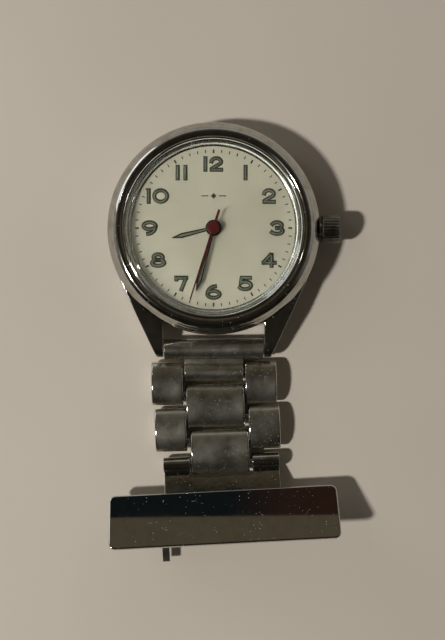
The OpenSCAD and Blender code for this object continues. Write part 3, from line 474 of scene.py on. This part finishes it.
def drawn_numerals(name, width, shorten, low, high):
    """The twelve numerals as flat ribbons of a width, shortened at their ends, between two heights
    over the dial. A curve follows each stroke, and its section is a flat rectangle."""
    section = bpy.data.curves.new(name + "_section", "CURVE")
    corners = [(-width / 2, low), (width / 2, low), (width / 2, high), (-width / 2, high)]
    box = section.splines.new("POLY")
    box.points.add(3)
    box.use_cyclic_u = True
    for point, (across, up) in zip(box.points, corners):
        point.co = (across * MM, up * MM, 0, 1)
    section_object = bpy.data.objects.new(name + "_section", section)
    curve = bpy.data.curves.new(name, "CURVE")
    curve.dimensions = "2D"
    curve.bevel_mode = "OBJECT"
    curve.bevel_object = section_object
    curve.use_fill_caps = True
    for hour in range(1, 13):
        text = str(hour)
        angle = math.radians(30 * hour)
        middle = Vector((numeral_r * math.sin(angle), numeral_r * math.cos(angle)))
        starts = figure_starts.get(text, (0,))
        shift = 0.75 if len(text) == 2 else 0.5
        for figure, start in zip(text, starts):
            for stroke in figures[figure]:
                points = [Vector(((x - shift + start) * figure_wide, (y - 0.5) * figure_high))
                          for x, y in stroke]
                closed = (points[0] - points[-1]).length < 0.01
                if closed:
                    points.pop()
                else:
                    extra = figure_stroke / 2 - shorten
                    points[0] = points[0] + (points[0] - points[1]).normalized() * extra
                    points[-1] = points[-1] + (points[-1] - points[-2]).normalized() * extra
                spline = curve.splines.new("POLY")
                spline.points.add(len(points) - 1)
                spline.use_cyclic_u = closed
                for point, p in zip(spline.points, points):
                    point.co = ((p.x + middle.x) * MM, (p.y + middle.y) * MM, 0, 1)
    line = bpy.data.objects.new(name, curve)
    bpy.context.scene.collection.objects.link(line)
    bpy.context.view_layer.update()
    bm = bmesh.new()
    bm.from_mesh(line.evaluated_get(bpy.context.evaluated_depsgraph_get()).to_mesh())
    bmesh.ops.translate(bm, vec=(0, 0, dial_top * MM), verts=bm.verts)
    bmesh.ops.recalc_face_normals(bm, faces=bm.faces)
    bpy.data.objects.remove(line)
    bpy.data.objects.remove(section_object)
    return bm


piece("numeral_outlines", drawn_numerals("outline", figure_stroke, 0.0, 0.0, print_thick), [ink], "case")
piece("numeral_lume", drawn_numerals("fill", lume_stroke, lume_short, 0.015, 0.04), [lume], "case")


# ---- Rehaut ----
# A turned ring that frames the dial: a polished slope that mirrors the minute track, with a thin
# flat lip at its foot.
slope_low, slope_high = reach("rehaut_ring", 2)
opening_r = 12.7
rehaut_section = [
    (opening_r, slope_low + 0.02), (opening_r, slope_low + 0.1), (opening_r + 0.04, slope_low + 0.14),
    (ledge_r - 0.17, slope_high - 0.02), (ledge_r - 0.13, slope_high), (ledge_r - 0.02, slope_high),
    (ledge_r, slope_high - 0.02), (ledge_r, ledge_z), (plug_r, ledge_z), (plug_r, slope_low)]
piece("rehaut_slope", turned(rehaut_section), [polished_steel], "case", ["rehaut_ring"])


# ---- Hands ----
# The hour and minute hands are pencil-shaped strips of brass, lacquered black and filled with the
# same luminous paint. The seconds hand is a thin red needle with a round domed boss.

# Black hand lacquer: a thin glossy coat with the faint ripple of a dipped part.
hand_lacquer, tree, output = new_material("black_hand_lacquer")
ripple = add(tree, "Bump", {"Height": pattern(tree, 0.6), "Distance": 0.004 * MM})
shader = add(tree, "BsdfPrincipled", {"Base Color": linear("17160F"), "Roughness": 0.25,
                                      "Normal": ripple.outputs[0]})
tree.links.new(shader.outputs[0], output.inputs["Surface"])

# Red hand lacquer: deep red, glossy, a little darker where the coat is thick.
red_lacquer, tree, output = new_material("red_hand_lacquer")
thick = blotches(tree, 0.8, 0.35, 0.65)
shader = add(tree, "BsdfPrincipled", {
    "Base Color": add(tree, "Mix", {"Factor": thick, 6: linear("360808"), 7: linear("420B0B")},
                      data_type="RGBA").outputs[2], "Roughness": 0.34, "Specular IOR Level": 0.25})
tree.links.new(shader.outputs[0], output.inputs["Surface"])


def boss(bm, radius, low, high, crown=0.04):
    """A round boss about the Z axis, whose top edge is rounded by the width of its crown."""
    middle = (low + high) / 2 * MM
    made = bmesh.ops.create_cone(bm, cap_ends=True, segments=48, radius1=radius * MM, radius2=radius * MM,
                                 depth=(high - low) * MM, matrix=Matrix.Translation((0, 0, middle)))["verts"]
    rim = [e for e in bm.edges if all(v in made and v.co.z > middle for v in e.verts)]
    soften(bm, rim, crown, 4)


def blade(bm, outline, angle, low, high):
    """A flat hand with its outline drawn towards 12, turned to a clock angle; returns its top face."""
    face = bm.faces.new([bm.verts.new((x * MM, y * MM, low * MM)) for x, y in outline])
    drawn = bmesh.ops.extrude_face_region(bm, geom=[face])["geom"]
    corners = only(bmesh.types.BMVert, drawn)
    bmesh.ops.translate(bm, vec=(0, 0, (high - low) * MM), verts=corners)
    bmesh.ops.rotate(bm, cent=(0, 0, 0), matrix=Matrix.Rotation(-math.radians(angle), 3, "Z"),
                     verts=face.verts[:] + corners)
    bmesh.ops.recalc_face_normals(bm, faces=bm.faces)
    return only(bmesh.types.BMFace, drawn)[0]


hour_angle, minute_angle, seconds_angle = 256.3, 195.3, 198.0
lacquer_border = 0.19
for node, angle, body, length, half_base, half_shoulder, tip, hub in (
        ("hour_hand", hour_angle, "hour_group", 6.6, 0.24, 0.38, 1.5, 1.25),
        ("minute_hand", minute_angle, "minute_group", 10.1, 0.27, 0.4, 1.6, 0.95)):
    low, high = reach(node, 2)
    hand = bmesh.new()
    shape = [(-half_base, 0.6), (half_base, 0.6), (half_shoulder, length - tip), (0.05, length),
             (-0.05, length), (-half_shoulder, length - tip)]
    top = blade(hand, shape, angle, low, high)
    bmesh.ops.inset_region(hand, faces=[top], thickness=lacquer_border * MM, depth=0)
    top.material_index = 1
    boss(hand, hub, low, high)
    piece(node + "_blade", hand, [hand_lacquer, lume], body, [node])

low, high = reach("seconds_hand", 2)
needle = bmesh.new()
needle_tail, needle_length, needle_thick = -2.9, 11.7, 0.12
needle_shape = [(-0.2, needle_tail), (0.2, needle_tail), (0.2, 0), (0.11, needle_length),
                (-0.11, needle_length), (-0.2, 0)]
blade(needle, needle_shape, seconds_angle, low, low + needle_thick)
boss(needle, 0.95, low, high, crown=0.16)
piece("seconds_hand_needle", needle, [red_lacquer], "seconds_group", ["seconds_hand"])


# ---- Bezel and crystal ----
# The bezel is a turned and polished ring: a broad round bead, a slope inwards, and a thin rounded lip.
# The crystal is a domed disc of mineral glass that the nylon ring holds in it.
bezel_top = reach("bezel", 2)[1]
grip_r = reach("crystal", 0)[1] + 0.05
grip_low = reach("crystal_gasket", 2)[1] + 0.03
bead_out_r, bead_in_r, lip_r = 0.8, 1.0, 0.17
bead_lean = 32
crest_r, crest_z = bezel_r - 1.22, bezel_top - 0.02
bezel_section = [
    (case_bore, case_top), (bezel_r - 0.04, case_top), (bezel_r, case_top + 0.04),
    (bezel_r - 0.02, crest_z - 0.62),
    *arc((crest_r, crest_z - bead_out_r), bead_out_r, 90 - bead_lean, 90, 8),
    *arc((crest_r, crest_z - bead_in_r), bead_in_r, 92, 90 + bead_lean, 8),
    *arc((grip_r + lip_r, grip_low + 0.13), lip_r, 40, 200, 9), (grip_r, grip_low), (case_bore, grip_low)]
piece("bezel_ring", turned(bezel_section, 192), [polished_steel], "case", ["bezel"])

# Mineral glass: clear, slightly green at its edge; lamps shine through it to the dial.
glass, tree, output = new_material("mineral_glass")
ghost = add(tree, "BsdfTransparent", {"Color": linear("F6F8F4")})
scuffs = blotches(tree, 2.5, 0.55, 0.75, 0.0, 0.05, detail=5.0)
clear = add(tree, "BsdfPrincipled", {"Base Color": linear("FBFDFA"), "Transmission Weight": 1.0,
                                     "IOR": 1.5, "Roughness": scuffs})
shadow_ray = add(tree, "LightPath").outputs["Is Shadow Ray"]
mixed = add(tree, "MixShader", {0: shadow_ray, 1: clear.outputs[0], 2: ghost.outputs[0]})
tree.links.new(mixed.outputs[0], output.inputs["Surface"])

crystal_r = reach("crystal", 0)[1]
crystal_low, crystal_top = reach("crystal", 2)
crystal_thick, crystal_wall, crystal_bevel = 1.1, 0.7, 0.03
crystal_edge = crystal_low + 1.05
hollow_top = crystal_top - crystal_thick


def dome(half_width, rise):
    """The radius of a dome, and the angle from its top to its edge in degrees."""
    radius = (half_width ** 2 + rise ** 2) / (2 * rise)
    return radius, math.degrees(math.asin(half_width / radius))


dome_r, dome_angle = dome(crystal_r, crystal_top - crystal_edge)
hollow_wide = crystal_r - crystal_wall
hollow_r, hollow_angle = dome(hollow_wide, hollow_top - crystal_low - 0.25)
outside = arc((0, crystal_top - dome_r), dome_r, 90, 90 - dome_angle + 0.6, 40)
inside = arc((0, hollow_top - hollow_r), hollow_r, 90 - hollow_angle, 90, 30)
crystal_section = [
    (0, crystal_top), *outside[1:], (crystal_r - crystal_bevel, crystal_edge - 0.05),
    (crystal_r, crystal_edge - 0.12), (crystal_r, crystal_low + crystal_bevel),
    (crystal_r - crystal_bevel, crystal_low), (hollow_wide, crystal_low), *inside[:-1], (0, hollow_top)]
piece("crystal_dome", turned(crystal_section, closed=False), [glass], "case", ["crystal"])


# ---- Crown ----
# A turned steel button with milled flutes, screwed onto the winding stem. Its outer face is slightly
# domed, and the tube and its rubber ring sit in a bore at the inner end.
crown_low, crown_high = reach("crown", 0)
crown_r = 2.1
crown_z = 3.35
flutes, points_per_flute, flute_deep = 26, 8, 0.13
crown = bmesh.new()
end = bmesh.ops.create_circle(crown, cap_ends=True, segments=flutes * points_per_flute, radius=crown_r * MM)
for vert in end["verts"]:
    angle = math.atan2(vert.co.y, vert.co.x)
    depth = flute_deep * max(0.0, math.cos(flutes * angle)) ** 2
    vert.co *= 1 - depth / crown_r

# The fluted outline is drawn along the crown in steps of height and of how far it draws in
grip_length = crown_high - crown_low - 0.5
cap = end["verts"][0].link_faces[0]
for height, inward in ((0.14, -0.12), (grip_length, 0), (0.2, 0.12), (0.1, 0.3), (0.06, 0.8)):
    drawn = bmesh.ops.extrude_face_region(crown, geom=[cap])["geom"]
    cap = only(bmesh.types.BMFace, drawn)[0]
    bmesh.ops.translate(crown, vec=(0, 0, height * MM), verts=cap.verts)
    for vert in cap.verts:
        radius = vert.co.xy.length
        vert.co.xy *= (radius - inward * MM) / radius
bmesh.ops.recalc_face_normals(crown, faces=crown.faces)
stand = Matrix.Translation((crown_low * MM, 0, crown_z * MM)) @ Matrix.Rotation(math.pi / 2, 4, "Y")
bmesh.ops.transform(crown, matrix=stand, verts=crown.verts)

# Cut steel, left as it is and cloudy with grime. Its colour is painted darker than the polished case as
# painted shade, standing in for the dark room it mirrors and the shadow it lies in.
steel_painted_dark_as_shade = steel("steel_painted_dark_as_shade", "7A7870", "5C5951", smooth=0.22, rough=0.34, grain_mm=0.3, dent_mm=0.002)
# The crown takes the steel whose colour is painted dark as shade, for the dark room that it mirrors.
piece("crown_button", crown, [steel_painted_dark_as_shade], "crown_group", ["crown"])


# ---- Strap ----
# Solid stainless links with rounded backs: a barrel between the lugs, pairs of outer links and wide
# middle ones, joined by push pins. Their tops are satin, brushed along the strap, and their ends polished.

# Satin stainless steel: fine lines along the strap, with dust caught in them.
satin_steel = steel("satin_stainless_steel", "C6C2B6", "A8A392", smooth=0.22, rough=0.34, grain_mm=0.16,
                    dent_mm=0.004, squeeze=(1, 0.06, 1), dusty=0.16)


def softened(name, node, material, width_mm, degrees=35):
    """A copy of a CAD node, merged, with its sharp edges rounded by a width."""
    bm = bmesh.new()
    bm.from_mesh(frame["nodes"][node].data)
    bmesh.ops.remove_doubles(bm, verts=bm.verts, dist=1e-6)
    bmesh.ops.dissolve_limit(bm, angle_limit=math.radians(0.5), verts=bm.verts, edges=bm.edges)
    soften(bm, sharp_edges(bm, degrees), width_mm, 2)
    return piece(name, bm, [material], frame["nodes"][node]["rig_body"], [node])


softened("end_link_satin", "end_link", satin_steel, 0.12)

hinge = {joint["name"]: joint for joint in frame["joints"]}
pin_pitch, link_thick = 3.67, 1.62
link_half = pin_pitch / 2 + link_thick
pin_bore_r = 0.55
link_square = 0.95
link_edge = 0.26
end_tilt = 0.12


def link_block(bm, first, second, x0, x1, bored):
    """A link from x0 to x1 along the pins of two hinges, with a crowned section, and bored if asked.
    Its top is the first material, and its two ends are the second."""
    start, end = Vector(hinge[first]["pos_m"]), Vector(hinge[second]["pos_m"])
    along_pin = Vector(hinge[second]["axis"]) if first == "link_hinge_1" else Vector(hinge[first]["axis"])
    pitch = (start - end).length / 2 / MM
    along_strap = Vector((0, 0, 1)).cross(along_pin)
    up = along_pin.cross(along_strap)
    place = Matrix.Translation((start + end) / 2) @ Matrix((along_pin, along_strap, up)).transposed().to_4x4()
    upright = Matrix.Translation((x0 * MM, 0, 0)) @ Matrix.Rotation(math.pi / 2, 4, "Y")
    block = bmesh.new()
    rim = bmesh.ops.create_circle(block, cap_ends=not bored, segments=64, radius=1.0, matrix=upright)
    for vert in rim["verts"]:
        y, z = vert.co.y, vert.co.z
        vert.co.y = math.copysign(abs(y) ** link_square, y) * link_half * MM
        vert.co.z = math.copysign(abs(z) ** link_square, z) * link_thick * MM
    if bored:
        for y in (-pitch, pitch):
            bmesh.ops.create_circle(block, segments=24, radius=pin_bore_r * MM,
                                    matrix=Matrix.Translation((0, y * MM, 0)) @ upright)
        bmesh.ops.triangle_fill(block, use_beauty=True, use_dissolve=False, edges=block.edges)
    drawn = bmesh.ops.extrude_face_region(block, geom=block.faces[:])["geom"]
    bmesh.ops.translate(block, vec=((x1 - x0) * MM, 0, 0), verts=only(bmesh.types.BMVert, drawn))
    bmesh.ops.recalc_face_normals(block, faces=block.faces)
    rims = [e for e in sharp_edges(block, 35)
            if all((v.co.yz - Vector((y * MM, 0))).length > 2 * pin_bore_r * MM for v in e.verts
                   for y in (-pitch, pitch))]
    soften(block, rims, link_edge, 4)
    block.normal_update()
    for face in block.faces:
        face.material_index = int(abs(face.normal.x) > end_tilt)
    bmesh.ops.transform(block, matrix=place, verts=block.verts)
    join(bm, block)


outer_x, strap_half = 4.95, 10.0
for number, first, second in ((1, "link_hinge_1", "link_hinge_2"), (2, "link_hinge_3", "link_hinge_4")):
    pair = bmesh.new()
    link_block(pair, first, second, -strap_half, -outer_x, bored=False)
    link_block(pair, first, second, outer_x, strap_half, bored=False)
    piece(f"outer_links_{number}_satin", pair, [satin_steel, polished_steel], f"strap_outer_{number}",
          [f"outer_links_{number}"])
centre_half = 4.65
for number, first, second in ((1, "link_hinge_2", "link_hinge_3"), (2, "link_hinge_4", "brooch_hinge")):
    middle = bmesh.new()
    link_block(middle, first, second, -centre_half, centre_half, bored=True)
    piece(f"centre_link_{number}_satin", middle, [satin_steel, polished_steel], f"strap_centre_{number}",
          [f"centre_link_{number}"])
dress(drawn_steel, "spring_bar_tube", "spring_bar_tip_left", "spring_bar_tip_right", "spring_bar_spring",
      "link_pin_1", "link_pin_2", "link_pin_3", "link_pin_4", "link_pin_5")


# ---- Brooch ----
# A chromed brass bar riveted to a hanger plate that is rolled round the last pin. Behind it a strip
# carries a hinged pin of spring wire and a safety catch with a turning sleeve.

# Chromium plate: the brightest mirror here, with hardly a scratch in it and dust lying on it.
chrome = steel("chromium_plate", "C6C6C4", "BDBCB6", smooth=0.01, rough=0.03, grain_mm=0.7, dent_mm=0.0001,
               dusty=0.08)

across = Vector(hinge["brooch_hinge"]["axis"])
along = Vector(hinge["brooch_pin_swing"]["axis"])
outward = across.cross(along)
brooch_place = Matrix.Translation(hinge["brooch_hinge"]["pos_m"]) @ Matrix(
    (across, along, outward)).transposed().to_4x4()

bar_w, bar_h, bar_t = 36.0, 8.5, 0.9
bar_corner, bar_edge = 1.0, 0.25
bar_top_edge, bar_back = -4.6, -0.75
bar_middle = (0, bar_top_edge - bar_h / 2, bar_back + bar_t / 2)
bar = bmesh.new()
bmesh.ops.create_cube(bar, size=1.0, matrix=Matrix.Diagonal((bar_w * MM, bar_h * MM, bar_t * MM, 1)))
corners = [e for e in bar.edges if abs((e.verts[0].co - e.verts[1].co).z) > bar_t * MM / 2]
soften(bar, corners, bar_corner, 8)
rims = [e for e in bar.edges if len({round(v.co.z, 7) for v in e.verts}) == 1 and e.calc_face_angle() > 1]
soften(bar, rims, bar_edge, 5)
bmesh.ops.transform(bar, matrix=brooch_place @ Matrix.Translation(Vector(bar_middle) * MM), verts=bar.verts)
piece("brooch_bar_plate", bar, [chrome], "brooch", ["brooch_bar"])

softened("hanger_sheet", "hanger_plate", polished_steel, 0.08)
softened("pin_strip", "brooch_base", drawn_steel, 0.05)
# The catch's hook and sleeve take the same steel, whose painted dark colour stands in for the shadow under
# the bar.
softened("catch_hook_cut", "catch_hook", steel_painted_dark_as_shade, 0.05)
softened("catch_sleeve_cut", "catch_sleeve", steel_painted_dark_as_shade, 0.05)
dress(drawn_steel, "hinge_rivet", "brooch_pin")


# ---- Floor, light and camera ----
# A plain pale floor, a small key lamp from the left on the near side, a wide low window lamp and a weak
# small one from the left on the far side, and a dim warm room that the polished steel mirrors.
floor_mesh = bpy.data.meshes.new("floor")
floor_bm = bmesh.new()
bmesh.ops.create_grid(floor_bm, x_segments=1, y_segments=1, size=1.5)
floor_bm.to_mesh(floor_mesh)
floor_bm.free()
floor = bpy.data.objects.new("floor", floor_mesh)
bpy.context.scene.collection.objects.link(floor)

# Matt paper: a pale warm grey, cloudy by a few hundredths.
paper, tree, output = new_material("matt_paper")
cloud = blotches(tree, 40.0, 0.3, 0.7, detail=1.0)
shader = add(tree, "BsdfPrincipled", {
    "Base Color": add(tree, "Mix", {"Factor": cloud, 6: linear("CBC2B4"), 7: linear("D0C7B9")},
                      data_type="RGBA").outputs[2], "Roughness": 0.9, "Specular IOR Level": 0.2})
tree.links.new(shader.outputs[0], output.inputs["Surface"])
floor_mesh.materials.append(paper)


def lamp(name, azimuth, elevation, distance, size, size_y, power, colour):
    """An area lamp that looks at the middle of the object from a direction in degrees."""
    light = bpy.data.lights.new(name, "AREA")
    light.shape = "RECTANGLE"
    light.size, light.size_y = size, size_y
    light.energy = power
    light.color = linear(colour)[:3]
    made = bpy.data.objects.new(name, light)
    bpy.context.scene.collection.objects.link(made)
    a, e = math.radians(azimuth), math.radians(elevation)
    towards = Vector((math.cos(a) * math.cos(e), math.sin(a) * math.cos(e), math.sin(e)))
    made.location = Vector((0, -0.012, 0)) + towards * distance
    made.rotation_euler = towards.to_track_quat("Z", "Y").to_euler()
    made.visible_camera = False


lamp("key_lamp", 199, 50, 0.6, size=0.045, size_y=0.045, power=2.55, colour="FFFDFA")
lamp("window_lamp", 143, 18, 0.6, size=0.42, size_y=0.26, power=0.5, colour="F8F9FF")
lamp("spark_lamp", 152, 46, 0.6, size=0.03, size_y=0.03, power=0.06, colour="FFFFFF")

# The room: dark above and on the near side, paler towards the far horizon, with a dark band that the
# tilted bar mirrors.
world = bpy.data.worlds.new("room")
bpy.context.scene.world = world
world.use_nodes = True
tree = world.node_tree
tree.nodes.clear()
ray = add(tree, "TexCoord").outputs["Generated"]
x, y, z = add(tree, "SeparateXYZ", {0: ray}).outputs

low = add(tree, "MapRange", {"Value": z, 1: 0.42, 2: 0.56}).outputs[0]
near = add(tree, "MapRange", {"Value": y, 1: -0.55, 2: 0.15, 3: 1.0, 4: 0.0}).outputs[0]
high = add(tree, "MapRange", {"Value": z, 1: 0.75, 2: 0.97}).outputs[0]
walls = add(tree, "Mix", {"Factor": low, 6: linear("A2A19E"), 7: linear("574F40")}, data_type="RGBA")
sides = add(tree, "Mix", {"Factor": near, 6: walls.outputs[2], 7: linear("1F1D19")}, data_type="RGBA")
room = add(tree, "Mix", {"Factor": high, 6: sides.outputs[2], 7: linear("2B2722")}, data_type="RGBA")

ahead = add(tree, "Math", {0: y, 1: z}, operation="DIVIDE").outputs[0]
band_start = add(tree, "MapRange", {"Value": ahead, 1: 0.963, 2: 0.966}).outputs[0]
band_end = add(tree, "MapRange", {"Value": ahead, 1: 1.034, 2: 1.038, 3: 1.0, 4: 0.0}).outputs[0]
band = add(tree, "Math", {0: band_start, 1: band_end}, operation="MULTIPLY").outputs[0]
above = add(tree, "Math", {0: z, 1: 0.2}, operation="GREATER_THAN").outputs[0]
dark = add(tree, "Math", {0: band, 1: above}, operation="MULTIPLY").outputs[0]
right = add(tree, "MapRange", {"Value": x, 1: -0.04, 2: 0.03}).outputs[0]
shade = add(tree, "Mix", {"Factor": right, 6: linear("141A1B"), 7: linear("30201A")}, data_type="RGBA")
seen = add(tree, "Mix", {"Factor": dark, 6: room.outputs[2], 7: shade.outputs[2]}, data_type="RGBA")
light = add(tree, "Background", {"Color": seen.outputs[2], "Strength": 1.0})
add(tree, "OutputWorld", {"Surface": light.outputs[0]})

# The camera looks straight down at the strap's middle
camera_data = bpy.data.cameras.new("camera")
camera_data.sensor_fit = "VERTICAL"
camera_data.sensor_height = 36.0
camera_data.lens = 52.0
camera_data.clip_start = 0.01
camera = bpy.data.objects.new("camera", camera_data)
bpy.context.scene.collection.objects.link(camera)
camera.location = (0.0014, -0.0144, 0.15)
bpy.context.scene.camera = camera
bpy.context.scene.view_settings.view_transform = "Standard"
